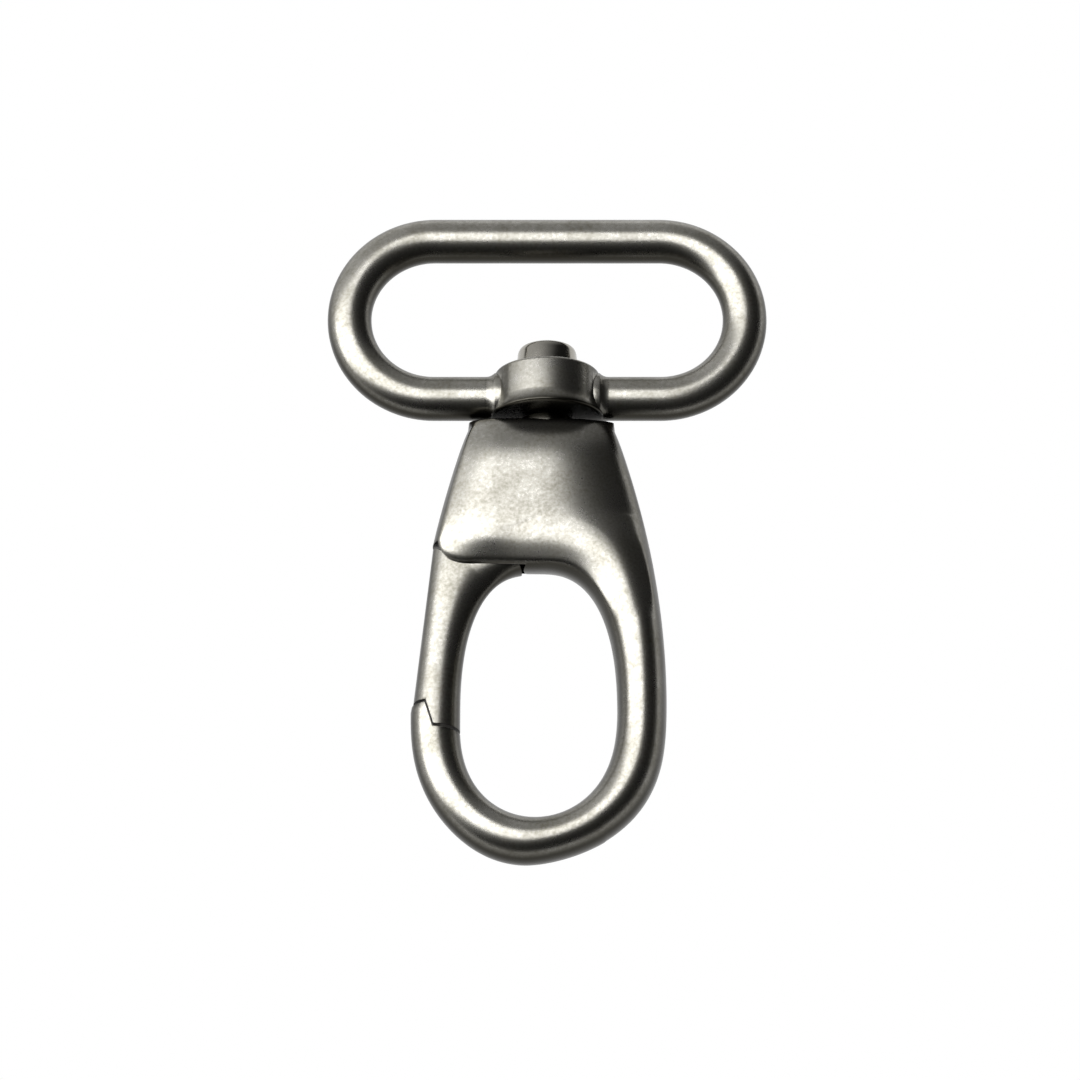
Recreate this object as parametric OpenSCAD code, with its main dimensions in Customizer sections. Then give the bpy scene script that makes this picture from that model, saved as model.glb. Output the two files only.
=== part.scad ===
// Swivel snap hook for a webbing strap: a cast loop that turns on a steel rivet,
// a cast hook body with an oval eye, and a sprung gate that swings into the eye.
// Everything is drawn level, the strap bar on y = 0 and the front towards +z,
// and then laid down the way the hook rests on a table.

/* [Strap loop] */
// width of strap the loop takes
strap_w = 32; // [24:1:40]
// clear height inside the loop
loop_gap = 11.5; // [9:0.1:15]
// thickness of the round loop bar
bar_d = 4; // [3:0.1:4.6]

/* [Swivel] */
// radius of the collar at its upper rim
collar_top_r = 4.75; // [4.3:0.05:5.2]
// radius of the collar at its lower rim
collar_low_r = 5.15; // [4.9:0.05:5.8]
// height of the collar along the swivel axis
collar_h = 4.4; // [4:0.1:5]
// radius of the rivet shank
shank_r = 1.85; // [1.5:0.05:2]
// radius of the rivet's shoulder, which keeps collar and body apart
shoulder_r = 2.4; // [2.2:0.05:2.6]
// radius of the rivet head where it meets the collar
head_r = 2.85; // [2.6:0.05:3.2]
// height of the rivet head
head_h = 2.5; // [1.6:0.1:3.2]
// free gap between collar and body
neck_gap = 0.35; // [0.3:0.05:1.6]

/* [Hook body] */
// width of the plate across its upper edge
top_w = 13.4; // [12.6:0.2:16]
// thickness of the plate
plate_t = 7.2; // [6.8:0.1:8]
// height of the plate above the eye
plate_h = 14.35; // [13.8:0.05:17]
// radius of the free lower corner of the plate
corner_r = 2.4; // [1.6:0.1:3]
// outside width of the hook ring
hook_w = 22.7; // [21.7:0.2:26]
// clear width of the eye
eye_w = 13.9; // [12.1:0.2:14.7]
// clear height of the eye
eye_h = 22.9; // [20.5:0.2:26.9]
// height of the limb section at the foot of the ring
foot_w = 4.2; // [3.4:0.1:4.8]
// thickness of the ring at its foot
foot_t = 5; // [4.4:0.1:5.4]
// thickness of the right limb at mid height
limb_t = 6; // [5.4:0.1:6.6]

/* [Gate] */
// thickness of the gate inside the body slot
gate_t = 3.8; // [3.2:0.1:4.2]
// thickness of the gate at its lip
lip_t = 4.6; // [4:0.1:5]
// clearance on each face of the gate in its slot
slot_gap = 0.1; // [0.06:0.01:0.2]
// radius of the gate pin
pin_r = 1; // [0.8:0.05:1.1]
// gap along the stepped seam between lip and nose
seam_gap = 0.24; // [0.1:0.01:0.3]
// how far the gate swings into the eye, in degrees
gate_swing = 30; // [20:1:30]

/* [Gate spring] */
// thickness of the spring wire
spring_wire = 0.36; // [0.25:0.01:0.42]
// mean radius of the spring coil
spring_r = 0.9; // [0.75:0.01:0.95]
// number of turns
spring_turns = 6; // [4:0.5:8]

/* [Hidden] */
$fn = 64;

// running fits
turn_gap = 0.06;
pin_gap = 0.05;

// swivel levels, measured from the strap bar
collar_top = 0.536 * collar_h;
collar_low = collar_top - collar_h;
body_top = collar_low - neck_gap;
head_gap = 0.06;
shoulder_low = body_top - 1.2;
shoulder_top = body_top + 0.7 * neck_gap;
shank_low = body_top - 4;

// body levels
mid_x = -0.52;
ring_x = -0.76;
nose_round = 0.75 * plate_t / 2;
nose_run = 3.7;
eye_top = body_top - plate_h;
eye_y = eye_top - 0.58 * eye_h;
foot_y = eye_top - eye_h;
hook_low = foot_y - foot_w;
toe_lean = 1.2;
corner_x = leftSide(eye_top + corner_r) + corner_r;
corner_y = eye_top + corner_r;

// gate levels
pin_x = corner_x + 2.2;
pin_y = corner_y + 1.1;
ear_r = 2.9;
ear_gap = 0.3;
swing_r = 5.05;
slot_rise = gate_swing - 21;
slot_t = gate_t + 2 * slot_gap;
lip_x = ring_x - eye_w / 2;
seam_y = eye_y - 1.65;
step_h = 2.3;
step_x = lip_x - 2.4;
bar_low = seam_y - 1.2;
bar_high = pin_y - 1.35;
reach = 12;

// spring and its pocket
spring_x = pin_x + 2.35;
pocket_r = spring_r + spring_wire / 2 + 0.16;
pocket_top = pin_y + 6.2;
seat_y = pin_y + 1.2;
spring_low = seat_y + spring_wire / 2 + 0.02;
spring_high = pocket_top - spring_wire / 2 - 0.02;

// ends of the gate pin behind and in front of the mid plane
pin_low = plate_t / 2 - 0.55;
pin_high = plate_t / 2 - 0.95;

// form of the plate and the ring
plate_full = 3;
left_full = 7;
right_full = 2.6;
limb_full = 2.1;
ridge_lift = 2.3;
edge_lean = 0.16;
bow_r = (loop_gap + bar_d) / 2;

// rest on the table: the collar's lower rim and the foot of the ring touch it
rim_y = collar_low + 0.2;
foot_mid = foot_y - foot_w / 2;
lie_tilt = atan((collar_low_r - foot_t / 2) / (rim_y - foot_mid));
far_y = 2 * bow_r * cos(lie_tilt) + bar_d / 2;
near_y = foot_mid * cos(lie_tilt) - norm([foot_w * cos(lie_tilt), foot_t * sin(lie_tilt)]) / 2;
lie_y = -(far_y + near_y) / 2;
lie_z = collar_low_r * cos(lie_tilt) - rim_y * sin(lie_tilt);

function mix(a, b, k) = a + (b - a) * k;
function ease(k) = k * k * (3 - 2 * k);
function power(v, p) = sign(v) * pow(abs(v), p);

// half the width of the body at height y: the sides bow outwards from the
// upper edge and run straight down where they pass into the ring
function sideRun(y) = min(1, max(0, (body_top - 0.9 - y) / (body_top - 0.9 - eye_y)));
function sideHalf(y) = mix(top_w / 2, hook_w / 2, 1 - pow(1 - sideRun(y), 1.95));
function midLine(y) = mix(mid_x, ring_x, pow(sideRun(y), 2));
function leftSide(y) = midLine(y) - sideHalf(y);
function rightSide(y) = midLine(y) + sideHalf(y);

// the eye above its widest level, and eye and ring below it; the foot of the
// ring leans towards the gate side
function eyeUpper(a) = [
    ring_x + eye_w / 2 * power(cos(a), 2 / 2.6),
    eye_y + (eye_top - eye_y) * power(sin(a), 2 / 2.35)
];
function eyeLower(a) = [
    ring_x + eye_w / 2 * cos(a) - toe_lean / 4 * power(sin(a), 0.8),
    eye_y - (eye_y - foot_y) * power(sin(a), 0.8)
];
function ringLower(a) = [
    ring_x + hook_w / 2 * power(cos(a), 2 / 1.8) - toe_lean * pow(sin(a), 5),
    eye_y - (eye_y - hook_low) * power(sin(a), 0.8)
];

// one cross-section of the body: inner edge, ridge, outer edge, half thickness,
// fullness of the profile towards the inner edge, lean of that edge, and
// fullness towards the outer edge
function station(inner, outer, lift, half_t, full, lean, outer_full) = [
    inner, (inner + outer) / 2 + [0, lift], outer, half_t, full, lean, outer_full
];

// the plate's upper end, rounded over towards front and back
cap = [for (f = [4 : 14 : 88])
    let (y = body_top - nose_run * (1 - cos(f)))
    let (inset = 0.15 * pow(cos(f), 3))
    station([leftSide(y) + inset, y], [rightSide(y) - inset, y], 0,
        plate_t / 2 - nose_round * (1 - sin(f)), left_full, 0, right_full)];

// the plate down to the start of its free lower corner; towards the eye the
// stations lag on the right, so that they fan evenly round that corner
plate_y = body_top - nose_run;
right_y = mix(plate_y, corner_y, 0.66);
edge_y = corner_y + 2.2;
crown_y = eye_top + 1.6;
plate = [for (k = [0 : 1 / 7 : 0.999])
    let (left = mix(plate_y, corner_y, k))
    let (right = mix(plate_y, right_y, k))
    station([leftSide(left), left], [rightSide(right), right],
        ridge_lift * 0.4 * ease(k), plate_t / 2, left_full, 0, right_full)];

// the free corner, an arc the stations fan round
corner = [for (a = [0 : 15 : 75])
    let (k = a / 90)
    let (y = mix(right_y, edge_y, k))
    station([corner_x - corner_r * cos(a), corner_y - corner_r * sin(a)],
        [rightSide(y), y],
        ridge_lift * mix(0.4, 1, k), plate_t / 2,
        mix(left_full, plate_full, ease(k)), edge_lean * k, right_full)];

// the plate's lower edge, from the corner to the crown of the eye
edge = [for (k = [0 : 1 / 6 : 0.999])
    let (y = mix(edge_y, crown_y, k))
    station([mix(corner_x, ring_x, k), eye_top],
        [rightSide(y), y],
        ridge_lift, plate_t / 2, plate_full, edge_lean, right_full)];

// the right limb, from the crown of the eye to its widest level
limb = [for (t = [0 : 1 / 12 : 0.999])
    let (k = ease(t))
    let (y = mix(crown_y, eye_y, 0.4 * t + 0.6 * pow(t, 1.75)))
    station(eyeUpper(acos(pow(sin(90 * t), 1.3))), [rightSide(y), y],
        ridge_lift * (1 - k), mix(plate_t, limb_t, k) / 2,
        mix(plate_full, limb_full, k), edge_lean * (1 - k), mix(right_full, limb_full, k))];

// the lower half of the ring, round to the nose that meets the gate
ring = [for (a = [0 : 6 : 180])
    let (t = a < 90 ? mix(limb_t, foot_t, ease(a / 90)) : mix(foot_t, lip_t, ease(a / 90 - 1)))
    station(eyeLower(a), ringLower(a), 0, t / 2, limb_full, 0, limb_full)];
nose_y = eye_y + 1.5;
nose_x = ring_x - hook_w / 2 + 0.25;
nose = [station([lip_x, nose_y], [nose_x, nose_y], 0, lip_t / 2, limb_full, 0, limb_full)];

// points of one station, round its profile
function profile(s, sides) = [for (k = [0 : sides - 1])
    let (a = 360 * k / sides)
    let (u = power(cos(a), 2 / (cos(a) < 0 ? s[4] : s[6])))
    let (z = s[3] * sin(a))
    let (p = u < 0 ? mix(s[1], s[0], -u) : mix(s[1], s[2], u))
    [p[0], p[1] - (u < 0 ? s[5] * u * u * z : 0), z]];

// closed skin over a row of stations
module skin(stations, sides) {
    rows = len(stations);
    rings = [for (s = stations) each profile(s, sides)];
    walls = [for (i = [0 : rows - 2]) for (k = [0 : sides - 1])
        let (n = (k + 1) % sides)
        each [
            [i * sides + k, i * sides + n, (i + 1) * sides + k],
            [i * sides + n, (i + 1) * sides + n, (i + 1) * sides + k]
        ]];
    first = [for (k = [sides - 1 : -1 : 0]) k];
    last = [for (k = [0 : sides - 1]) (rows - 1) * sides + k];
    polyhedron(points = rings, faces = concat([first], walls, [last]), convexity = 6);
}

// everything is drawn level inside this and then laid on the table
module lie() {
    translate([0, lie_y, lie_z])
        rotate([lie_tilt, 0, 0])
            children();
}

// a cylinder along the swivel axis, from one level to another
module post(r, low, high) {
    translate([0, high, 0])
        rotate([90, 0, 0])
            cylinder(r = r, h = high - low);
}

// a turned shape on the swivel axis; its outline is given as radius and level
module turned() {
    rotate([-90, 0, 0])
        rotate_extrude()
            children();
}

// line of the stepped seam between lip and nose, moved up by the given amount
function seamLine(up) = [
    [step_x - reach, seam_y + step_h + up],
    [step_x - 0.7 + up / 3, seam_y + step_h + up],
    [step_x + up / 3, seam_y + up],
    [step_x + reach / 2, seam_y - 0.5 + up]
];
module aboveSeam(up) {
    high = eye_y + reach / 2;
    polygon(concat(seamLine(up), [[step_x + reach / 2, high], [step_x - reach, high]]));
}
module belowSeam(up) {
    low = seam_y - reach / 2;
    polygon(concat(seamLine(up), [[step_x + reach / 2, low], [step_x - reach, low]]));
}

module loopEnd(side) {
    translate([side * (strap_w / 2 + bar_d / 2 - bow_r), bow_r, 0])
        rotate([0, 0, side * 90 - 180])
            rotate_extrude(angle = 180)
                translate([bow_r, 0])
                    circle(d = bar_d);
}

module loopBar(y) {
    length = strap_w + bar_d - 2 * bow_r;
    translate([-length / 2, y, 0])
        rotate([0, 90, 0])
            cylinder(d = bar_d, h = length);
}

// cove where the bar runs into the collar
module barRoot(side) {
    cove_r = 1.1;
    flare = 0.35;
    rotate([0, side * 90, 0])
        rotate_extrude()
            difference() {
                translate([0, collar_top_r - 1.2])
                    square([bar_d / 2 + flare, 2]);
                translate([bar_d / 2 + cove_r, collar_top_r + 0.8])
                    circle(r = cove_r);
            }
}

module strapLoop() {
    color("#77736c")
    lie()
    difference() {
        union() {
            loopEnd(-1);
            loopEnd(1);
            loopBar(0);
            loopBar(2 * bow_r);
            barRoot(-1);
            barRoot(1);
            turned()
                polygon([
                    [0, collar_low],
                    [collar_low_r - 0.3, collar_low],
                    [collar_low_r - 0.08, collar_low + 0.05],
                    [collar_low_r, rim_y],
                    [mix(collar_top_r, collar_low_r, 0.7), rim_y + 0.3],
                    [mix(collar_top_r, collar_low_r, 0.3), rim_y + 0.7],
                    [mix(collar_top_r, collar_low_r, 0.1), rim_y + 1.2],
                    [collar_top_r, collar_top - 0.3],
                    [collar_top_r - 0.09, collar_top - 0.09],
                    [collar_top_r - 0.3, collar_top],
                    [0, collar_top]
                ]);
        }
        post(shank_r + turn_gap, collar_low - 1, collar_top + 1);
        post(collar_low_r + 0.2, collar_low - 1, collar_low);
    }
}

module slotCut() {
    translate([0, 0, -slot_t / 2])
        linear_extrude(slot_t) {
            translate([pin_x, pin_y])
                circle(r = ear_r + ear_gap);
            intersection() {
                translate([pin_x, pin_y])
                    circle(r = swing_r);
                polygon([
                    [pin_x, pin_y],
                    [pin_x + reach, pin_y + reach * tan(slot_rise)],
                    [pin_x + reach, pin_y - reach],
                    [pin_x, pin_y - reach]
                ]);
            }
            polygon([
                [pin_x - reach, bar_high + 0.22],
                [pin_x, bar_high + 0.22],
                [pin_x, pin_y - reach],
                [pin_x - reach, pin_y - reach]
            ]);
        }
}

module hookBody() {
    color("#7c786f")
    lie()
    difference() {
        skin(concat(cap, plate, corner, edge, limb, ring, nose), 32);
        translate([0, 0, -plate_t])
            linear_extrude(2 * plate_t)
                aboveSeam(-seam_gap / 2);
        slotCut();
        post(shank_r, shank_low, body_top + 2);
        post(shoulder_r, shoulder_low, body_top + 2);
        translate([spring_x, pocket_top, 0])
            rotate([90, 0, 0])
                cylinder(r = pocket_r, h = pocket_top - pin_y);
        translate([pin_x, pin_y, -plate_t])
            cylinder(r = pin_r, h = plate_t + pin_high);
    }
}

module swivelRivet() {
    base = collar_top + head_gap;
    color("#8f8d88")
    lie()
    turned()
        polygon([
            [0, shank_low],
            [shank_r - 0.2, shank_low],
            [shank_r, shank_low + 0.2],
            [shank_r, shoulder_low],
            [shoulder_r, shoulder_low],
            [shoulder_r, shoulder_top - 0.12],
            [shoulder_r - 0.12, shoulder_top],
            [shank_r, shoulder_top],
            [shank_r, base],
            [head_r, base],
            [head_r - 0.04, base + 0.3],
            [head_r - 0.18, base + head_h - 0.7],
            [head_r - 0.32, base + head_h - 0.3],
            [head_r - 0.6, base + head_h - 0.08],
            [head_r - 0.95, base + head_h],
            [0, base + head_h]
        ]);
}

// the gate bar, from beyond its lip up into the slot: a straight outer edge
// and an inner edge that follows the eye; at the crown of the eye the bar
// bends to the right, so that its rounded side follows the eye's outline
bar_top_x = leftSide(corner_y) + 0.06;
seam_top = seam_y + step_h;
function barOuter(y) = mix(nose_x - 0.04, bar_top_x, (y - seam_top) / (corner_y - seam_top));
function eyeSide(run) = pow(1 - pow(min(1, max(0, run)), 2.35), 1 / 2.6);
function eyeLeft(y) = ring_x - eye_w / 2 * eyeSide((y - eye_y) / (eye_top - eye_y));
function eyeCrown(x) = eye_y
    + (eye_top - eye_y) * pow(1 - pow((ring_x - x) / (eye_w / 2), 2.6), 1 / 2.35);
bend = 0.72;
bend_y = eye_top - 1.5;
tip_x = pin_x + 3.15;
bar_end_x = pin_x + 2.2;
bar = [for (k = [0 : 1 / 25 : 1.001])
    let (up = min(1, k / bend))
    let (turn = max(0, (k - bend) / (1 - bend)))
    let (y = mix(bar_low, bar_high, up))
    let (low = mix(bar_low, bend_y, up))
    let (x = mix(eyeLeft(bend_y), tip_x, turn))
    station([mix(barOuter(y), bar_end_x, turn), y],
        turn > 0 ? [x, eyeCrown(x)] : [eyeLeft(low), low],
        0, mix(lip_t, gate_t, ease(min(1, k * 1.9))) / 2, 2.5, 0, 2.3)];

module gate() {
    color("#726e66")
    lie()
    difference() {
        union() {
            translate([pin_x, pin_y, -gate_t / 2])
                cylinder(r = ear_r, h = gate_t);
            difference() {
                skin(bar, 28);
                translate([0, 0, -plate_t])
                    linear_extrude(2 * plate_t)
                        belowSeam(seam_gap / 2);
            }
        }
        translate([pin_x, pin_y, -plate_t])
            cylinder(r = pin_r + pin_gap, h = 2 * plate_t);
        translate([spring_x, seat_y + 4, 0])
            rotate([90, 0, 0])
                cylinder(r = pocket_r + 0.3, h = 4);
    }
}

module gatePin() {
    color("#8f8d88")
    lie()
    translate([pin_x, pin_y, 0])
        rotate_extrude()
            polygon([
                [0, -pin_low],
                [pin_r - 0.2, -pin_low],
                [pin_r, -pin_low + 0.15],
                [pin_r, pin_high],
                [0, pin_high]
            ]);
}

module gateSpring() {
    per = 18;
    steps = round(spring_turns * per);
    sides = 8;
    path = [for (i = [0 : steps])
        let (a = 360 * i / per)
        [spring_r * cos(a), mix(spring_low, spring_high, i / steps), spring_r * sin(a), a]];
    pts = [for (p = path) for (j = [0 : sides - 1])
        let (b = 360 * j / sides)
        let (r = spring_r + spring_wire / 2 * cos(b))
        [spring_x + r * cos(p[3]), p[1] + spring_wire / 2 * sin(b), r * sin(p[3])]];
    walls = [for (i = [0 : steps - 1]) for (j = [0 : sides - 1])
        let (n = (j + 1) % sides)
        each [
            [i * sides + j, (i + 1) * sides + j, i * sides + n],
            [i * sides + n, (i + 1) * sides + j, (i + 1) * sides + n]
        ]];
    first = [for (j = [0 : sides - 1]) j];
    last = [for (j = [sides - 1 : -1 : 0]) steps * sides + j];
    color("#9a9a98")
    lie()
    polyhedron(points = pts, faces = concat([first], walls, [last]), convexity = 10);
}

strapLoop();  // strap_loop
hookBody();  // hook_body
swivelRivet();  // swivel_rivet
gate();
gatePin();  // gate_pin
gateSpring();  // gate_spring
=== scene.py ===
import bmesh
import bpy
import math
import numpy as np
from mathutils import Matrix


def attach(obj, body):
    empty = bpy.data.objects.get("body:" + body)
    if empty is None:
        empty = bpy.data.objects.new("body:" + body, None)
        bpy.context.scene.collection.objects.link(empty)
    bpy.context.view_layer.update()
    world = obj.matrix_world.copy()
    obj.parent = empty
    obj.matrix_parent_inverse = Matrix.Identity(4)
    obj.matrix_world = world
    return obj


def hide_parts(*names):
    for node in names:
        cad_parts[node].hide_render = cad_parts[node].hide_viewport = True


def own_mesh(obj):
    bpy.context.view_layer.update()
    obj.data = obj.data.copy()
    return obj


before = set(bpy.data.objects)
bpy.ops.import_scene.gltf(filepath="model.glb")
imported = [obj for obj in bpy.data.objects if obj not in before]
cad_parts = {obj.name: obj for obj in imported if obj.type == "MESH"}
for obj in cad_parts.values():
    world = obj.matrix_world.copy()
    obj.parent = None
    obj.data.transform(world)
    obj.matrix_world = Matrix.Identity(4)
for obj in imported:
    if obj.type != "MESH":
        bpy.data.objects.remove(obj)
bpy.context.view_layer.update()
print("frame loaded")

# How the part lies: drawn level in millimetres, then leaned back by a few degrees.
lie = dict(tilt=3.79978, along=13.1429, up=5.26072)
lieCos, lieSin = math.cos(math.radians(lie["tilt"])), math.sin(math.radians(lie["tilt"]))

# Level millimetres to frame metres: a turn about X, a shift, and a thousandth.
def toFrame(points):
    p = np.asarray(points, dtype=float).reshape(-1, 3)
    return np.stack([p[:, 0], p[:, 1] * lieCos - p[:, 2] * lieSin + lie["along"],
                     p[:, 1] * lieSin + p[:, 2] * lieCos + lie["up"]], axis=1) / 1000

# Camera, from the photograph: looking down from the foot side.
view = dict(tilt=20.0, distance=450.0, aimX=-0.65, aimY=-13.6, pxPerMm=11.15, photoPx=1080, sensor=36, near=0.01)

# The eye sits at the aim point plus distance times the view direction; the lens follows from pixels per millimetre.
def addCamera():
    lean, far = math.radians(view["tilt"]), view["distance"]
    eye = toFrame([view["aimX"], view["aimY"] - far * math.sin(lean), far * math.cos(lean)])[0]
    aim = toFrame([view["aimX"], view["aimY"], 0])[0]
    data = bpy.data.cameras.new("photoCamera")
    data.sensor_width = view["sensor"]
    data.lens = view["sensor"] * view["pxPerMm"] * far / view["photoPx"]
    data.clip_start = view["near"]
    cam = bpy.data.objects.new("photoCamera", data)
    bpy.context.scene.collection.objects.link(cam)
    cam.location = eye
    look = aim - eye
    cam.rotation_euler = (math.atan2(math.hypot(look[0], look[1]), -look[2]), 0, math.atan2(-look[0], look[1]))
    bpy.context.scene.camera = cam

addCamera()
print("camera placed")

# sRGB hex to linear: each channel through the sRGB curve.
def linear(hexColour):
    c = np.array([int(hexColour[i:i + 2], 16) for i in (1, 3, 5)]) / 255
    return (*np.where(c <= 0.04045, c / 12.92, ((c + 0.055) / 1.055) ** 2.4).tolist(), 1.0)

# Links a mesh made from whole arrays of level points, once they are laid down.
def meshObject(name, verts, faces):
    mesh = bpy.data.meshes.new(name)
    mesh.from_pydata(toFrame(verts).tolist(), [], [list(f) for f in faces])
    mesh.update()
    obj = bpy.data.objects.new(name, mesh)
    bpy.context.scene.collection.objects.link(obj)
    return obj

# Quads between neighbouring rings, closed around, with a flat face on each end where it is capped.
def gridFaces(rows, cols, capped=True):
    r, c = np.meshgrid(np.arange(rows - 1), np.arange(cols), indexing="ij")
    n = (c + 1) % cols
    quads = np.stack([r * cols + c, r * cols + n, (r + 1) * cols + n, (r + 1) * cols + c], axis=-1).reshape(-1, 4)
    faces = quads.tolist()
    if capped:
        faces.append(list(range(cols))[::-1])
        faces.append([(rows - 1) * cols + k for k in range(cols)])
    return faces

# Welds doubles and turns every face outwards.
def fixNormals(obj):
    bm = bmesh.new()
    bm.from_mesh(obj.data)
    bmesh.ops.remove_doubles(bm, verts=bm.verts, dist=2e-7)
    bmesh.ops.recalc_face_normals(bm, faces=bm.faces)
    bm.to_mesh(obj.data)
    bm.free()
    return obj

# A flat outline carried straight from low to high along z.
def prism(name, outline, low, high):
    o = np.asarray(outline, dtype=float)
    n = len(o)
    ring = lambda z: np.column_stack([o, np.full(n, z)])
    faces = [list(range(n))[::-1], list(range(n, 2 * n))]
    faces += [[k, (k + 1) % n, n + (k + 1) % n, n + k] for k in range(n)]
    return fixNormals(meshObject(name, np.vstack([ring(low), ring(high)]), faces))

# A profile of radius and level spun round an axis: the two other axes are radius times cosine and sine.
def turned(name, outline, axis="y", centre=(0, 0, 0), sides=96):
    o = np.asarray(outline, dtype=float)
    a = np.linspace(0, 2 * np.pi, sides, endpoint=False)
    r, level = o[:, 0][:, None], np.repeat(o[:, 1][:, None], sides, axis=1)
    ring = np.stack([r * np.cos(a), r * np.sin(a), level], axis=-1)
    ring = ring[..., dict(x=[2, 0, 1], y=[0, 2, 1], z=[0, 1, 2])[axis]]
    verts = ring.reshape(-1, 3) + np.asarray(centre, dtype=float)
    return fixNormals(meshObject(name, verts, gridFaces(len(o), sides)))

# A plain round cutter from low to high.
def bore(name, radius, low, high, axis="y", centre=(0, 0, 0)):
    return turned(name, [[radius, low], [radius, high]], axis, centre)

# Bakes an object's modifiers into its mesh.
def settle(obj):
    bpy.context.view_layer.update()
    graph = bpy.context.evaluated_depsgraph_get()
    done = bpy.data.meshes.new_from_object(obj.evaluated_get(graph))
    obj.modifiers.clear()
    obj.data = done
    return obj

# Adds or cuts each tool in turn with an exact boolean and removes the tools.
def combine(obj, tools, operation):
    for tool in tools:
        mod = obj.modifiers.new("cut", "BOOLEAN")
        mod.operation, mod.object, mod.solver = operation, tool, "EXACT"
        settle(obj)
        bpy.data.objects.remove(tool)
    return obj

# Shades smooth except over edges sharper than the angle.
def smooth(obj, angle=32):
    obj.data.polygons.foreach_set("use_smooth", np.ones(len(obj.data.polygons), dtype=bool))
    obj.data.set_sharp_from_angle(angle=math.radians(angle))
    return obj

# Hook body, level millimetres, the same values as the solid has: sizes first, then the orders and shares of its
# curves
body = dict(topW=13.4, plateT=7.2, plateH=14.35, cornerR=2.4, hookW=22.7, eyeW=13.9, eyeH=22.9, footW=4.2, footT=5,
            limbT=6, midX=-0.52, ringX=-0.76, toeLean=1.2, top=-2.3916, capInset=0.15, noseRun=3.7, sideFree=0.9,
            edgeUp=2.2, crownUp=1.6, noseUp=1.5, ridgeLift=2.3, shankDeep=4, shoulderDeep=1.2,
            plateFull=3, leftFull=7, rightFull=2.6, limbFull=2.1, edgeLean=0.16, noseShare=0.75, eyeShare=0.58,
            sideOrder=1.95, eyeWide=2.6, eyeHigh=2.35, footBlunt=0.8, ringOrder=1.8, toeOrder=5,
            rightShare=0.66, ridgeShare=0.4, limbLag=1.3, limbEven=0.4, limbLate=0.6, limbOrder=1.75)

bodyTop = body["top"]
eyeTop = bodyTop - body["plateH"]
eyeY = eyeTop - body["eyeShare"] * body["eyeH"]
footY = eyeTop - body["eyeH"]
hookLow = footY - body["footW"]
noseRound = body["noseShare"] * body["plateT"] / 2

def mix(a, b, k):
    return a + (b - a) * k

def ease(k):
    return k * k * (3 - 2 * k)

def power(v, p):
    return np.sign(v) * np.abs(v) ** p

# Half the body's width at a height: from the top width it bows out and runs straight down at the ring.
def sideRun(y):
    start = bodyTop - body["sideFree"]
    return np.clip((start - y) / (start - eyeY), 0, 1)

def sideHalf(y):
    return mix(body["topW"] / 2, body["hookW"] / 2, 1 - (1 - sideRun(y)) ** body["sideOrder"])

# The outline's left (-1) or right (1) edge: a middle line that drifts with the run squared, and the half width.
def side(y, way):
    return mix(body["midX"], body["ringX"], sideRun(y) ** 2) + way * sideHalf(y)

# Superellipse quarters: cosine and sine, each raised to two over its own order, scaled to the half sizes.
def eyeUpper(deg):
    a = np.radians(deg)
    return np.column_stack([body["ringX"] + body["eyeW"] / 2 * power(np.cos(a), 2 / body["eyeWide"]),
                            eyeY + (eyeTop - eyeY) * power(np.sin(a), 2 / body["eyeHigh"])])

def eyeLower(deg):
    a = np.radians(deg)
    s = np.abs(np.sin(a)) ** body["footBlunt"]
    return np.column_stack([body["ringX"] + body["eyeW"] / 2 * np.cos(a) - body["toeLean"] / 4 * s,
                            eyeY - (eyeY - footY) * s])

def ringLower(deg):
    a = np.radians(deg)
    s = np.abs(np.sin(a))
    across = power(np.cos(a), 2 / body["ringOrder"])
    return np.column_stack([body["ringX"] + body["hookW"] / 2 * across - body["toeLean"] * s ** body["toeOrder"],
                            eyeY - (eyeY - hookLow) * s ** body["footBlunt"]])

# Gate, its pin and its slot, level millimetres, as in the solid but for two values: seamGap is 0.06 mm wider, so that
# the seam shows, and tipOut reaches 0.25 mm further, so that the notch at the crown of the eye shows less
arm = dict(gateT=3.8, lipT=4.6, slotGap=0.1, pinR=1, pinGap=0.05, pinIn=2.2, pinUp=1.1, pinLow=0.55, pinHigh=0.95,
           seamGap=0.3, seamDrop=1.65, seamSlant=0.5, stepH=2.3, stepIn=2.4, stepRun=0.7, earR=2.9, earGap=0.3,
           swingR=5.05, slotRise=9, doorGap=0.22, barDrop=1.35, noseInset=0.25, reach=12, through=8,
           bend=0.72, bendDrop=1.5, tipOut=3.4, endOut=2.2, overlap=1.2, lipIn=0.04, topOut=0.06,
           taper=1.9, outerFull=2.5, innerFull=2.3)

# Closing spring and its pocket, level millimetres; keep is the share of its length that is left when the gate is open
coil = dict(wire=0.36, radius=0.9, turns=6, perTurn=28, pocketRise=6.2, seatRise=1.2, aside=2.35, endGap=0.02,
            pocketGap=0.16, seatGap=0.46, seatTop=5.2, keep=0.5)

cornerY = eyeTop + body["cornerR"]
cornerX = float(side(cornerY, -1)) + body["cornerR"]
pinX, pinY = cornerX + arm["pinIn"], cornerY + arm["pinUp"]
springX = pinX + coil["aside"]
lipX = body["ringX"] - body["eyeW"] / 2
seamY = eyeY - arm["seamDrop"]
stepX = lipX - arm["stepIn"]
barHigh = pinY - arm["barDrop"]
noseX = body["ringX"] - body["hookW"] / 2 + arm["noseInset"]

# One stretch of stations as rows: inner x y, outer x y, lift, half thickness, fullness, lean, fullness outwards.
def zone(inner, outer, lift, half, full, lean, outerFull):
    n = len(inner)
    rest = [np.broadcast_to(v, n) for v in (lift, half, full, lean, outerFull)]
    return np.column_stack([inner, outer] + rest)

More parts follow.
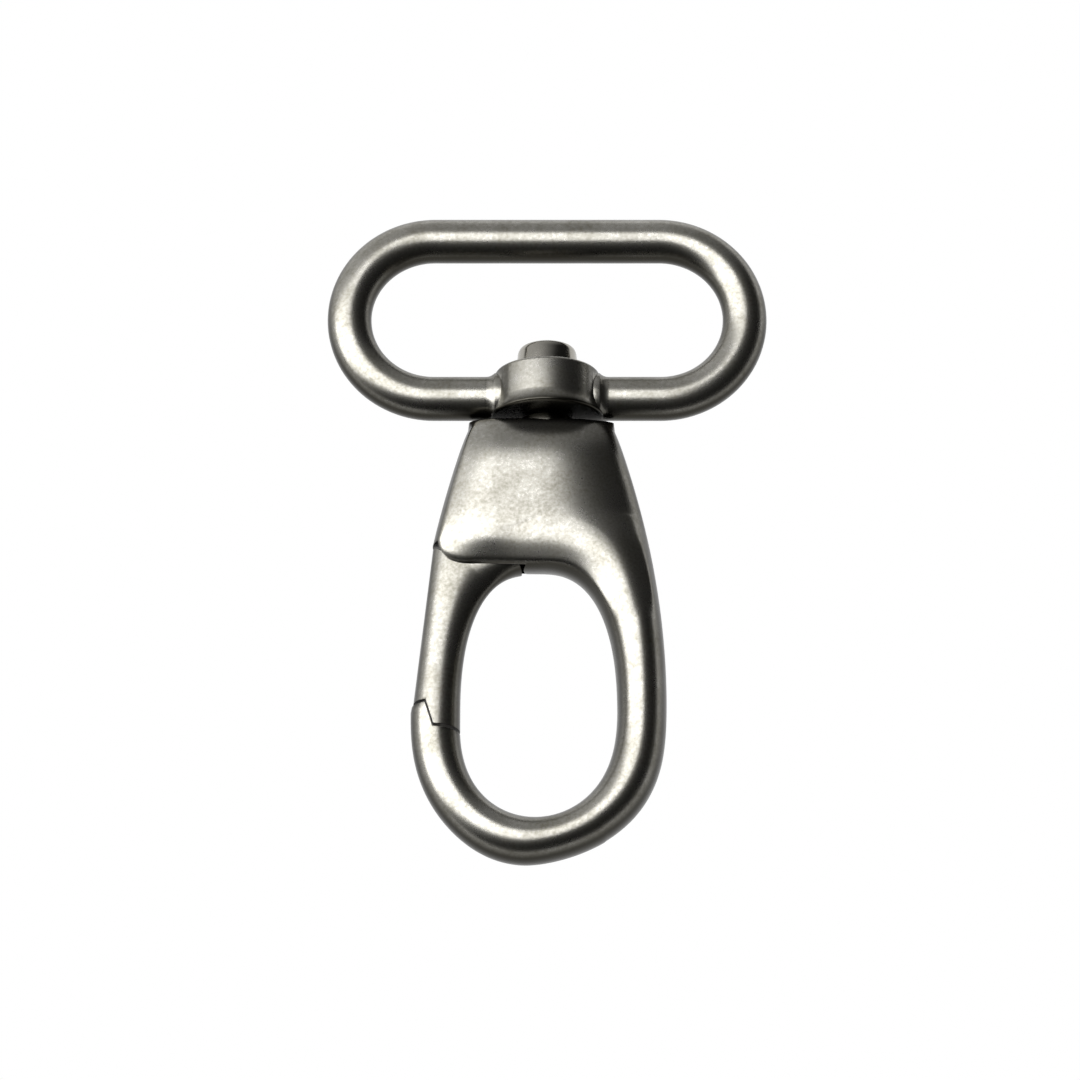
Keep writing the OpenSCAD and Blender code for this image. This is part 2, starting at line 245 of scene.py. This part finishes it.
# Evens out how the stations follow each other: all columns but the inner edge get a running mean, twice.
def soften(rows, first, last, width):
    out = rows.copy()
    for _ in range(2):
        run = np.cumsum(np.vstack([np.zeros((1, out.shape[1])), out]), axis=0)
        mean = (run[width:] - run[:-width]) / width
        half = width // 2
        out[first:last, 2:] = mean[first - half:last - half, 2:]
    return out

# The row of cross-sections from the plate's rounded top, round its free corner and the eye, to the nose.
def bodyStations(fine=4):
    b = body
    edgeAt = lambda y, way, inset=0: np.column_stack([side(y, way) - way * inset, y])
    f = np.radians(np.linspace(4, 88, 6 * fine))
    y = bodyTop - b["noseRun"] * (1 - np.cos(f))
    inset = b["capInset"] * np.cos(f) ** 3
    cap = zone(edgeAt(y, -1, inset), edgeAt(y, 1, inset), 0,
               b["plateT"] / 2 - noseRound * (1 - np.sin(f)), b["leftFull"], 0, b["rightFull"])
    plateY = bodyTop - b["noseRun"]
    rightY, edgeY, crownY = mix(plateY, cornerY, b["rightShare"]), cornerY + b["edgeUp"], eyeTop + b["crownUp"]
    k = np.arange(7 * fine) / (7 * fine)
    plate = zone(edgeAt(mix(plateY, cornerY, k), -1), edgeAt(mix(plateY, rightY, k), 1),
                 b["ridgeLift"] * b["ridgeShare"] * ease(k), b["plateT"] / 2, b["leftFull"], 0, b["rightFull"])
    k = np.arange(6 * fine) / (6 * fine)
    a = np.radians(90 * k)
    corner = zone(np.column_stack([cornerX - b["cornerR"] * np.cos(a), cornerY - b["cornerR"] * np.sin(a)]),
                  edgeAt(mix(rightY, edgeY, k), 1), b["ridgeLift"] * mix(b["ridgeShare"], 1, k), b["plateT"] / 2,
                  mix(b["leftFull"], b["plateFull"], ease(k)), b["edgeLean"] * k, b["rightFull"])
    edge = zone(np.column_stack([mix(cornerX, b["ringX"], k), np.full(len(k), eyeTop)]),
                edgeAt(mix(edgeY, crownY, k), 1), b["ridgeLift"], b["plateT"] / 2, b["plateFull"], b["edgeLean"],
                b["rightFull"])
    t = np.arange(12 * fine) / (12 * fine)
    a = np.degrees(np.arccos(np.sin(t * np.pi / 2) ** b["limbLag"]))
    k = ease(t)
    y = mix(crownY, eyeY, b["limbEven"] * t + b["limbLate"] * t ** b["limbOrder"])
    limb = zone(eyeUpper(a), edgeAt(y, 1), b["ridgeLift"] * (1 - k),
                mix(b["plateT"], b["limbT"], k) / 2, mix(b["plateFull"], b["limbFull"], k), b["edgeLean"] * (1 - k),
                mix(b["rightFull"], b["limbFull"], k))
    a = np.linspace(0, 180, 30 * fine)
    t = np.where(a < 90, mix(b["limbT"], b["footT"], ease(a / 90)), mix(b["footT"], arm["lipT"], ease(a / 90 - 1)))
    ring = zone(eyeLower(a), ringLower(a), 0, t / 2, b["limbFull"], 0, b["limbFull"])
    y = eyeY + b["noseUp"]
    end = zone(np.array([[lipX, y]]), np.array([[noseX, y]]), 0, arm["lipT"] / 2, b["limbFull"], 0, b["limbFull"])
    rows = np.vstack([cap, plate, corner, edge, limb, ring, end])
    return soften(rows, 6 * fine + 2, 31 * fine + 60, 2 * fine + 1)

# Each station's ring: across by cosine to the power two over fullness, up by sine times half thickness.
def skin(name, rows, sides=96, even=False):
    a = np.linspace(0, 2 * np.pi, sides, endpoint=False)[None, :]
    inner, outer = rows[:, None, 0:2], rows[:, None, 2:4]
    lift, half, full, lean, outerFull = [rows[:, k][:, None] for k in (4, 5, 6, 7, 8)]
    ridge = (inner + outer) / 2
    ridge[..., 1] += lift
    u = power(np.cos(a), 2 / np.where(np.cos(a) < 0, full, outerFull))
    z = half * np.sin(a)
    to = np.where(u[..., None] < 0, inner, outer)
    p = mix(ridge, to, np.abs(u)[..., None])
    p[..., 1] -= np.where(u < 0, lean * u * u * z, 0)
    if even:
        z = evenFace(p, evenFace(p, z, half), half)
    verts = np.concatenate([p, z[..., None]], axis=-1).reshape(-1, 3)
    return fixNormals(meshObject(name, verts, gridFaces(len(rows), sides)))

# Where and how far the plate's face is evened, in level millimetres and in shares of the half thickness
evening = dict(reach=0.85, low=0.48, fade=0.42, below=5, footFade=3, topGap=0.1, topFade=1.2, block=500)

# Evens the face of the plate: each height becomes a Gaussian mean of the heights round it, weighted by the area that
# each point stands for; near the outline, where the face falls steeply, the height stays as it was.
def evenFace(p, z, half):
    e = evening
    foot, block = eyeTop - e["below"], e["block"]
    dr, dc = np.gradient(p, axis=0), (np.roll(p, -1, axis=1) - np.roll(p, 1, axis=1)) / 2
    area = np.abs(dr[..., 0] * dc[..., 1] - dr[..., 1] * dc[..., 0]) + 1e-6
    out = z.copy()
    for way in (1, -1):
        near = (way * z > 0) & (p[..., 1] > foot)
        q, h, w = p[near], z[near], area[near]
        mean = np.empty(len(q))
        for start in range(0, len(q), block):
            gap = q[start:start + block, None] - q[None]
            g = np.exp(-(gap ** 2).sum(axis=-1) / (2 * e["reach"] ** 2)) * w
            mean[start:start + block] = (g * h).sum(axis=1) / g.sum(axis=1)
        share = np.clip((np.abs(z[near]) / np.broadcast_to(half, z.shape)[near] - e["low"]) / e["fade"], 0, 1)
        share = ease(share) * np.clip((q[:, 1] - foot) / e["footFade"], 0, 1)
        share = share * np.clip((bodyTop - e["topGap"] - q[:, 1]) / e["topFade"], 0, 1)
        out[near] = mix(h, mean, share)
    return out

def circlePoints(x, y, r, start=0, end=360, n=72):
    a = np.radians(np.linspace(start, end, n, endpoint=(end - start) % 360 != 0))
    return np.column_stack([x + r * np.cos(a), y + r * np.sin(a)])

# The stepped seam between lip and nose, moved up by the given amount.
def seamLine(up):
    high = seamY + arm["stepH"] + up
    return np.array([[stepX - arm["reach"], high], [stepX - arm["stepRun"] + up / 3, high],
                     [stepX + up / 3, seamY + up], [stepX + arm["reach"] / 2, seamY - arm["seamSlant"] + up]])

def makeBody():
    obj = skin("hookBodyCast", bodyStations(), even=True)
    t = arm["gateT"] / 2 + arm["slotGap"]
    far, high, deep = arm["reach"], eyeY + arm["reach"] / 2, arm["through"]
    above = np.vstack([seamLine(-arm["seamGap"] / 2), [[stepX + far / 2, high], [stepX - far, high]]])
    sector = np.vstack([[[pinX, pinY]], circlePoints(pinX, pinY, arm["swingR"], -90, arm["slotRise"], 32)])
    doorTop = barHigh + arm["doorGap"]
    gateDoor = np.array([[pinX - far, doorTop], [pinX, doorTop], [pinX, pinY - far], [pinX - far, pinY - far]])
    pocketR = coil["radius"] + coil["wire"] / 2 + coil["pocketGap"]
    cuts = [prism("cutSeam", above, -deep, deep),
            prism("cutEar", circlePoints(pinX, pinY, arm["earR"] + arm["earGap"]), -t, t),
            prism("cutSector", sector, -t, t), prism("cutDoor", gateDoor, -t, t),
            bore("cutShank", swivel["shankR"], bodyTop - body["shankDeep"], bodyTop + 2),
            bore("cutShoulder", swivel["shoulderR"], bodyTop - body["shoulderDeep"], bodyTop + 2),
            bore("cutPocket", pocketR, pinY, pinY + coil["pocketRise"], "y", (springX, 0, 0)),
            bore("cutPin", arm["pinR"], -deep, body["plateT"] / 2 - arm["pinHigh"], "z", (pinX, pinY, 0))]
    return smooth(combine(obj, cuts, "DIFFERENCE"))

# The eye's left edge at a height, and its crown at a place across: the two ways to read the same superellipse.
def eyeLeft(y):
    run = np.clip((y - eyeY) / (eyeTop - eyeY), 0, 1)
    return body["ringX"] - body["eyeW"] / 2 * (1 - run ** body["eyeHigh"]) ** (1 / body["eyeWide"])

def eyeCrown(x):
    run = (body["ringX"] - x) / (body["eyeW"] / 2)
    return eyeY + (eyeTop - eyeY) * (1 - run ** body["eyeWide"]) ** (1 / body["eyeHigh"])

# The gate bar: a straight outer edge and an inner edge along the eye; at the crown it bends to the right.
def makeGate():
    k = np.linspace(0, 1, 101)[:, None]
    bend, barLow, bendY = arm["bend"], seamY - arm["overlap"], eyeTop - arm["bendDrop"]
    up, turn = np.minimum(1, k / bend), np.maximum(0, (k - bend) / (1 - bend))
    y, low = mix(barLow, barHigh, up), mix(barLow, bendY, up)
    seamTop, topX = seamY + arm["stepH"], float(side(cornerY, -1)) + arm["topOut"]
    straight = mix(noseX - arm["lipIn"], topX, (y - seamTop) / (cornerY - seamTop))
    outer = np.hstack([mix(straight, pinX + arm["endOut"], turn), y])
    x = mix(eyeLeft(np.array([[bendY]])), pinX + arm["tipOut"], turn)
    inner = np.where(turn > 0, np.hstack([x, eyeCrown(x)]), np.hstack([eyeLeft(low), low]))
    half = mix(arm["lipT"], arm["gateT"], ease(np.clip(k[:, 0] * arm["taper"], 0, 1))) / 2
    obj = skin("gateBar", zone(outer, inner, 0, half, arm["outerFull"], 0, arm["innerFull"]))
    far, low, deep = arm["reach"], seamY - arm["reach"] / 2, arm["through"]
    below = np.vstack([seamLine(arm["seamGap"] / 2), [[stepX + far / 2, low], [stepX - far, low]]])
    combine(obj, [prism("cutLip", below, -deep, deep)], "DIFFERENCE")
    ear = prism("ear", circlePoints(pinX, pinY, arm["earR"], n=96), -arm["gateT"] / 2, arm["gateT"] / 2)
    combine(obj, [ear], "UNION")
    seatR = coil["radius"] + coil["wire"] / 2 + coil["seatGap"]
    cuts = [bore("cutPin", arm["pinR"] + arm["pinGap"], -deep, deep, "z", (pinX, pinY, 0)),
            bore("cutSeat", seatR, pinY + coil["seatRise"], pinY + coil["seatTop"], "y", (springX, 0, 0))]
    return smooth(combine(obj, cuts, "DIFFERENCE"))

# A circle carried along a path: centre plus radius times (cosine of normal plus sine of side).
def sweptTube(name, path, normal, radius, sides=48, closed=False):
    tangent = np.gradient(path, axis=0) if not closed else np.roll(path, -1, axis=0) - np.roll(path, 1, axis=0)
    tangent /= np.linalg.norm(tangent, axis=1, keepdims=True)
    across = np.cross(tangent, normal)
    across /= np.linalg.norm(across, axis=1, keepdims=True)
    up = np.cross(across, tangent)
    a = np.linspace(0, 2 * np.pi, sides, endpoint=False)[None, :, None]
    verts = path[:, None, :] + radius * (np.cos(a) * up[:, None, :] + np.sin(a) * across[:, None, :])
    if closed:
        verts = np.concatenate([verts, verts[:1]], axis=0)
    return fixNormals(meshObject(name, verts.reshape(-1, 3), gridFaces(len(verts), sides, not closed)))

# Strap loop with its collar, and the rivet, level millimetres
loop = dict(strapW=32, gap=11.5, bar=4.0, coveR=1.1, flare=0.35, rootIn=1.2, rootOut=0.8, underGap=0.2, underUp=0.06)
swivel = dict(collarTopR=4.75, collarLowR=5.15, collarTop=2.3584, collarLow=-2.0416, rimUp=0.2, shankR=1.85,
              shoulderR=2.4, headR=2.85, headH=2.5, turnGap=0.06, headGap=0.06, neckGap=0.35, neckShare=0.7)

# Collar profile, three rows of pairs: in from the lower radius and up from its face, share of the skirt's flare and up
# from the rim, in from the upper radius and down from its face. Doubled points keep the faces flat in smooth shading.
lowRim = [(0.4, 0), (0.3, 0), (0.08, 0.05), (0.02, 0.11)]
skirt = [(0.9, 0.12), (0.7, 0.3), (0.48, 0.5), (0.3, 0.7), (0.18, 0.94), (0.1, 1.2)]
topRim = [(0, 0.3), (0.02, 0.18), (0.09, 0.09), (0.18, 0.02), (0.3, 0), (0.4, 0)]

# The bar follows a racetrack: two straights joined by half circles.
def makeLoop():
    bow = (loop["gap"] + loop["bar"]) / 2
    halfRun = (loop["strapW"] + loop["bar"]) / 2 - bow
    run = np.linspace(-halfRun, halfRun, 60)
    a = np.radians(np.linspace(-90, 90, 64)[1:-1])
    path = np.vstack([np.column_stack([run, np.zeros(60)]),
                      np.column_stack([halfRun + bow * np.cos(a), bow + bow * np.sin(a)]),
                      np.column_stack([run[::-1], np.full(60, 2 * bow)]),
                      np.column_stack([-halfRun - bow * np.cos(a), bow - bow * np.sin(a)])])
    path = np.column_stack([path, np.zeros(len(path))])
    obj = sweptTube("strapLoopCast", path, np.array([[0, 0, 1.0]]), loop["bar"] / 2, closed=True)
    s = swivel
    hi, lo, rt, rl = s["collarTop"], s["collarLow"], s["collarTopR"], s["collarLowR"]
    rim = lo + s["rimUp"]
    outline = [[0, lo]] + [[rl - i, lo + up] for i, up in lowRim] + [[rl, rim]]
    outline += [[mix(rt, rl, share), rim + up] for share, up in skirt]
    outline += [[rt - i, hi - down] for i, down in topRim] + [[0, hi]]
    tools = [turned("collar", outline)]
    a = np.radians(np.linspace(8, 90, 10))
    c, thick = loop["coveR"], loop["bar"] / 2
    wide, start, end = thick + loop["flare"], rt - loop["rootIn"], rt + loop["rootOut"]
    cove = np.column_stack([thick + c - c * np.sin(a), end - c * np.cos(a)])
    cove = cove[cove[:, 0] < wide]
    for way in (-1, 1):
        flare = np.vstack([[[0, start], [wide, start], [wide, cove[0, 1] - 0.05]], cove, [[0, end]]])
        flare[:, 1] *= way
        under = bore("cutUnder", rl + loop["underGap"], lo - 1, lo + loop["underUp"])
        tools.append(combine(turned("root", flare, "x"), [under], "DIFFERENCE"))
    combine(obj, tools, "UNION")
    return smooth(combine(obj, [bore("cutBore", s["shankR"] + s["turnGap"], lo - 1, hi + 1)], "DIFFERENCE"))

# Rivet head's profile: in from its radius, and down from its top
headRim = [(0.18, 0.7), (0.23, 0.5), (0.32, 0.3), (0.45, 0.16), (0.6, 0.08), (0.78, 0.02), (0.95, 0)]

def makeRivet():
    s = swivel
    base, r, h, shank, shoulder = s["collarTop"] + s["headGap"], s["headR"], s["headH"], s["shankR"], s["shoulderR"]
    low, shoulderLow = bodyTop - body["shankDeep"], bodyTop - body["shoulderDeep"]
    shoulderTop = bodyTop + s["neckShare"] * s["neckGap"]
    outline = [[0, low], [shank - 0.2, low], [shank, low + 0.2], [shank, shoulderLow], [shoulder, shoulderLow],
               [shoulder, shoulderTop - 0.12], [shoulder - 0.12, shoulderTop], [shank, shoulderTop], [shank, base],
               [r, base], [r - 0.04, base + 0.3]]
    outline += [[r - i, base + h - down] for i, down in headRim] + [[0, base + h]]
    return smooth(turned("rivetTurned", outline))

def makePin():
    low, high = -(body["plateT"] / 2 - arm["pinLow"]), body["plateT"] / 2 - arm["pinHigh"]
    r = arm["pinR"]
    outline = [[0, low], [r - 0.2, low], [r - 0.06, low + 0.05], [r, low + 0.15], [r, high], [0, high]]
    return smooth(turned("gatePinSteel", outline, "z", (pinX, pinY, 0), 64))

# A coil: the angle runs with the height, the radius stays.
def makeSpring():
    low = pinY + coil["seatRise"] + coil["wire"] / 2 + coil["endGap"]
    high = pinY + coil["pocketRise"] - coil["wire"] / 2 - coil["endGap"]
    k = np.linspace(0, 1, coil["turns"] * coil["perTurn"] + 1)
    a = 2 * np.pi * coil["turns"] * k
    path = np.column_stack([springX + coil["radius"] * np.cos(a), mix(low, high, k), coil["radius"] * np.sin(a)])
    return smooth(sweptTube("closingSpring", path, np.array([[0, 1.0, 0]]), coil["wire"] / 2, 12))

# Adds one node, sets its values and links the named inputs; spaces in socket names are written as underscores, and an
# i before a number names an input by its place.
def addNode(tree, kind, settings=None, **links):
    node = tree.nodes.new(kind)
    for key, value in (settings or {}).items():
        if isinstance(key, str) and hasattr(node, key):
            setattr(node, key, value)
        else:
            node.inputs[key].default_value = value
    for key, source in links.items():
        name = key.replace("_", " ")
        socket = node.inputs[int(name[1:])] if name[0] == "i" and name[1:].isdigit() else node.inputs[name]
        tree.links.new(source, socket)
    return node

# A maths node: each value in turn is a number to set or a socket to link.
def calc(tree, operation, *values):
    node = addNode(tree, "ShaderNodeMath", {"operation": operation})
    for k, value in enumerate(values):
        if isinstance(value, (int, float)):
            node.inputs[k].default_value = value
        else:
            tree.links.new(value, node.inputs[k])
    return node.outputs[0]

# An empty node tree for a new material, and the object's own coordinates in it.
def startMaterial(name):
    mat = bpy.data.materials.new(name)
    mat.use_nodes = True
    mat.node_tree.nodes.clear()
    return mat, mat.node_tree, addNode(mat.node_tree, "ShaderNodeTexCoord").outputs["Object"]

# A noise pattern on the object's own coordinates; size 1 over scale, in metres.
def noise(tree, place, scale, detail, **settings):
    node = addNode(tree, "ShaderNodeTexNoise", {"Scale": scale, "Detail": detail, **settings}, Vector=place)
    return node.outputs["Fac"]

# Carries 0 to 1 of the source over to the two given roughnesses.
def roughRange(tree, source, start, end):
    return addNode(tree, "ShaderNodeMapRange", {"To Min": start, "To Max": end}, Value=source).outputs["Result"]

# A metallic shader with the given values and links, on the material's output.
def metal(tree, settings=None, **links):
    shader = addNode(tree, "ShaderNodeBsdfPrincipled", {"Metallic": 1.0, **(settings or {})}, **links)
    addNode(tree, "ShaderNodeOutputMaterial", Surface=shader.outputs[0])

# dark is the colour of the painted shade; flank and face set where it fades on the flanks, recessY, recessMm and
# clearMm where it fades round the swivel joint
nickelLook = dict(bare="#bab8b2", patina="#868378", dark="#302e28", rough=0.25, roughPatina=0.34, cloudMm=3.2,
                  grainMm=0.3, fineMm=0.12, bumpMm=0.002, bump=0.35, spanLow=0.65, spanHigh=1.35, flank=0.32,
                  face=0.93, recessMm=0.15, clearMm=1.3, recessY=-2.2, proudMm=3.1, proudFade=0.3)

# How far each point is left out of the painted shade: nothing where the surface faces sideways, so the flanks are
# painted dark, all of it where it faces the front or the back, or lies far enough from the middle plane.
def markFlankShade(obj):
    look, mesh = nickelLook, obj.data
    normal, place = np.empty(len(mesh.vertices) * 3), np.empty(len(mesh.vertices) * 3)
    mesh.vertex_normals.foreach_get("vector", normal)
    mesh.vertices.foreach_get("co", place)
    normal, place = normal.reshape(-1, 3), place.reshape(-1, 3)
    facing = np.abs(normal[:, 2] * lieCos - normal[:, 1] * lieSin)
    share = ease(np.clip((facing - look["flank"]) / (look["face"] - look["flank"]), 0, 1))
    depth = np.abs(place[:, 2] * lieCos - (place[:, 1] - lie["along"] / 1000) * lieSin - lie["up"] / 1000 * lieCos)
    share = np.maximum(share, np.clip((depth * 1000 - look["proudMm"]) / look["proudFade"], 0, 1))
    # Stored per point: 0 where the flank is painted dark as shade, 1 where it is left bare.
    mesh.attributes.new("unshaded", "FLOAT", "POINT").data.foreach_set("value", share.astype(np.float32))

# Painted shade in the gap between collar and plate: grows from 0 in that recess to 1 outside it, by the distance from
# its middle along the swivel.
def outOfRecess(tree, place):
    look = nickelLook
    level = addNode(tree, "ShaderNodeMapping",
                    {"vector_type": "TEXTURE", "Location": (0, lie["along"] / 1000, lie["up"] / 1000),
                     "Rotation": (math.radians(lie["tilt"]), 0, 0)}, Vector=place)
    parts = addNode(tree, "ShaderNodeSeparateXYZ", None, Vector=level.outputs[0])
    away = calc(tree, "ABSOLUTE", calc(tree, "SUBTRACT", parts.outputs["Y"], look["recessY"] / 1000))
    share = addNode(tree, "ShaderNodeMapRange",
                    {"From Min": look["recessMm"] / 1000, "From Max": look["clearMm"] / 1000,
                     "interpolation_type": "SMOOTHSTEP"}, Value=away)
    return share.outputs["Result"]

# Zinc die casting, tumbled and plated with satin antique nickel: soft edges, broad highlights that a faint darker
# patina breaks up, and a fine grain, drawn a little coarser than it is so that it shows. Over this a dark colour is
# painted as shade on the flanks, which face sideways, and round the swivel joint; it is left off where front and back
# stand proud.
def antiqueNickel():
    look = nickelLook
    mat, tree, place = startMaterial("antiqueNickelCasting")
    cloud = noise(tree, place, 1000 / look["cloudMm"], 4.0, Roughness=0.6)
    grain = noise(tree, place, 1000 / look["grainMm"], 3.0, Roughness=0.6)
    fine = noise(tree, place, 1000 / look["fineMm"], 1.0)
    span = addNode(tree, "ShaderNodeMapRange", {"From Min": look["spanLow"], "From Max": look["spanHigh"]},
                   Value=calc(tree, "ADD", cloud, grain)).outputs["Result"]
    tint = addNode(tree, "ShaderNodeMix", {"data_type": "RGBA", 6: linear(look["patina"]), 7: linear(look["bare"])},
                   Factor=span)
    proud = addNode(tree, "ShaderNodeAttribute", {"attribute_name": "unshaded"})
    # Painted shade: the dark colour goes on the flanks and in the gap at the swivel, the tint stays elsewhere.
    unshaded = calc(tree, "MINIMUM", proud.outputs["Fac"], outOfRecess(tree, place))
    shadedTint = addNode(tree, "ShaderNodeMix", {"data_type": "RGBA", 6: linear(look["dark"])}, Factor=unshaded,
                   i7=tint.outputs[2])
    bump = addNode(tree, "ShaderNodeBump", {"Strength": look["bump"], "Distance": look["bumpMm"] / 1000},
                   Height=calc(tree, "ADD", grain, fine))
    metal(tree, Base_Color=shadedTint.outputs[2], Roughness=roughRange(tree, span, look["roughPatina"], look["rough"]),
          Normal=bump.outputs["Normal"])
    return mat

steelLook = dict(tint="#a3a098", rough=0.16, smoother=0.05, rougher=0.1, cloud=900.0, ringMm=0.16, waver=0.4,
                 bumpMm=0.003, bump=0.3)

# Turned steel under the same plating: smoother and shinier than the castings, with faint tool rings round its axis.
def turnedSteel():
    look = steelLook
    mat, tree, place = startMaterial("platedTurnedSteel")
    rings = addNode(tree, "ShaderNodeTexWave",
                    {"wave_type": "BANDS", "bands_direction": "Y", "Scale": 1000 / look["ringMm"] / 20,
                     "Distortion": look["waver"]}, Vector=place)
    rough = roughRange(tree, noise(tree, place, look["cloud"], 3.0), look["rough"] - look["smoother"],
                       look["rough"] + look["rougher"])
    bump = addNode(tree, "ShaderNodeBump", {"Strength": look["bump"], "Distance": look["bumpMm"] / 1000},
                   Height=rings.outputs["Fac"])
    # Painted shade: the dark colour darkens the steel in the gap between collar and plate.
    shadedTint = addNode(tree, "ShaderNodeMix",
                   {"data_type": "RGBA", 6: linear(nickelLook["dark"]), 7: linear(look["tint"])},
                   Factor=outOfRecess(tree, place))
    metal(tree, Base_Color=shadedTint.outputs[2], Roughness=rough, Normal=bump.outputs["Normal"])
    return mat

wireLook = dict(tint="#c8c8c4", smooth=0.2, rough=0.35, streak=2500.0)

# Drawn spring wire: bright, lightly streaked.
def springWire():
    look = wireLook
    mat, tree, place = startMaterial("drawnSpringWire")
    rough = roughRange(tree, noise(tree, place, look["streak"], 2.0), look["smooth"], look["rough"])
    metal(tree, {"Base Color": linear(look["tint"])}, Roughness=rough)
    return mat

nickel, steel, wire = antiqueNickel(), turnedSteel(), springWire()
print("materials made")

pieces = [(makeLoop, "loop", "strap_loop", "cast_metal", nickel),
          (makeBody, "hook", "hook_body", "cast_metal", nickel),
          (makeRivet, "hook", "swivel_rivet", "turned_steel", steel),
          (makeGate, "gate_arm", "gate", "cast_metal", nickel),
          (makePin, "hook", "gate_pin", "turned_steel", steel),
          (makeSpring, "hook", "gate_spring", "spring_steel", wire)]
for make, rider, node, slotName, mat in pieces:
    piece = make()
    piece.data.materials.clear()
    piece.data.materials.append(mat)
    if mat is nickel:
        markFlankShade(piece)
    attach(piece, rider)
    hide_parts(node)
    if make is makeSpring:
        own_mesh(piece)
    print("made", piece.name, len(piece.data.polygons))

# Light: a long soft box above and to the left, grey walls that fade towards the foot and the right, and a white sweep
# that lies low enough for the loop to turn edgeways above it
light = dict(wall=0.02, leftShare=0.5, loopShare=0.45, least=0.018, most=0.8, boxWide=1.9, boxDeep=0.9, boxAway=1.0,
             boxTurn=-38.0, boxLean=2.0, boxPower=18.5, floorZ=-0.0155, floorHalf=3.0, paper="#e6e6e6")

# The sweep is white to the camera and in reflections, and plain paper to all other light.
def addFloor():
    mesh = bpy.data.meshes.new("table")
    s, z = light["floorHalf"], light["floorZ"]
    mesh.from_pydata([(-s, -s, z), (s, -s, z), (s, s, z), (-s, s, z)], [], [(0, 1, 2, 3)])
    floor = bpy.data.objects.new("table", mesh)
    bpy.context.scene.collection.objects.link(floor)
    mat, tree, _ = startMaterial("paperSweep")
    ray = addNode(tree, "ShaderNodeLightPath").outputs
    seen = calc(tree, "MAXIMUM", ray["Is Camera Ray"], ray["Is Glossy Ray"])
    seen = calc(tree, "MAXIMUM", seen, ray["Is Transmission Ray"])
    paper = addNode(tree, "ShaderNodeBsdfDiffuse", {"Color": linear(light["paper"])})
    white = addNode(tree, "ShaderNodeEmission", {"Color": (1, 1, 1, 1), "Strength": 1.0})
    pick = addNode(tree, "ShaderNodeMixShader", None, Fac=seen, i1=paper.outputs[0], i2=white.outputs[0])
    addNode(tree, "ShaderNodeOutputMaterial", Surface=pick.outputs[0])
    mesh.materials.append(mat)

addFloor()

# The room's walls: a grey that grows towards the left and the loop's end and fades towards the foot and the right.
def addSky():
    world = bpy.data.worlds.new("studio")
    bpy.context.scene.world = world
    world.use_nodes = True
    tree = world.node_tree
    tree.nodes.clear()
    place = addNode(tree, "ShaderNodeTexCoord").outputs["Generated"]
    way = addNode(tree, "ShaderNodeSeparateXYZ", None, Vector=place).outputs
    left = calc(tree, "MULTIPLY_ADD", way["X"], -light["leftShare"], light["wall"])
    both = calc(tree, "MULTIPLY_ADD", way["Y"], light["loopShare"], left)
    grey = calc(tree, "MINIMUM", calc(tree, "MAXIMUM", both, light["least"]), light["most"])
    back = addNode(tree, "ShaderNodeBackground", {"Color": (1, 1, 1, 1)}, Strength=grey)
    addNode(tree, "ShaderNodeOutputWorld", Surface=back.outputs[0])

addSky()

# A rectangular soft box at a distance, turned about Y by boxTurn and about X by boxLean from straight overhead.
def addBox():
    data = bpy.data.lights.new("softBox", "AREA")
    data.shape, data.energy = "RECTANGLE", light["boxPower"]
    data.size, data.size_y = light["boxWide"], light["boxDeep"]
    lamp = bpy.data.objects.new("softBox", data)
    bpy.context.scene.collection.objects.link(lamp)
    turn, lean, far = math.radians(light["boxTurn"]), math.radians(light["boxLean"]), light["boxAway"]
    lamp.location = (far * math.sin(turn) * math.cos(lean), far * math.sin(lean),
                     far * math.cos(turn) * math.cos(lean))
    lamp.rotation_euler = (-lean, turn, 0)

addBox()
bpy.context.scene.view_settings.view_transform = "Standard"
print("light set")
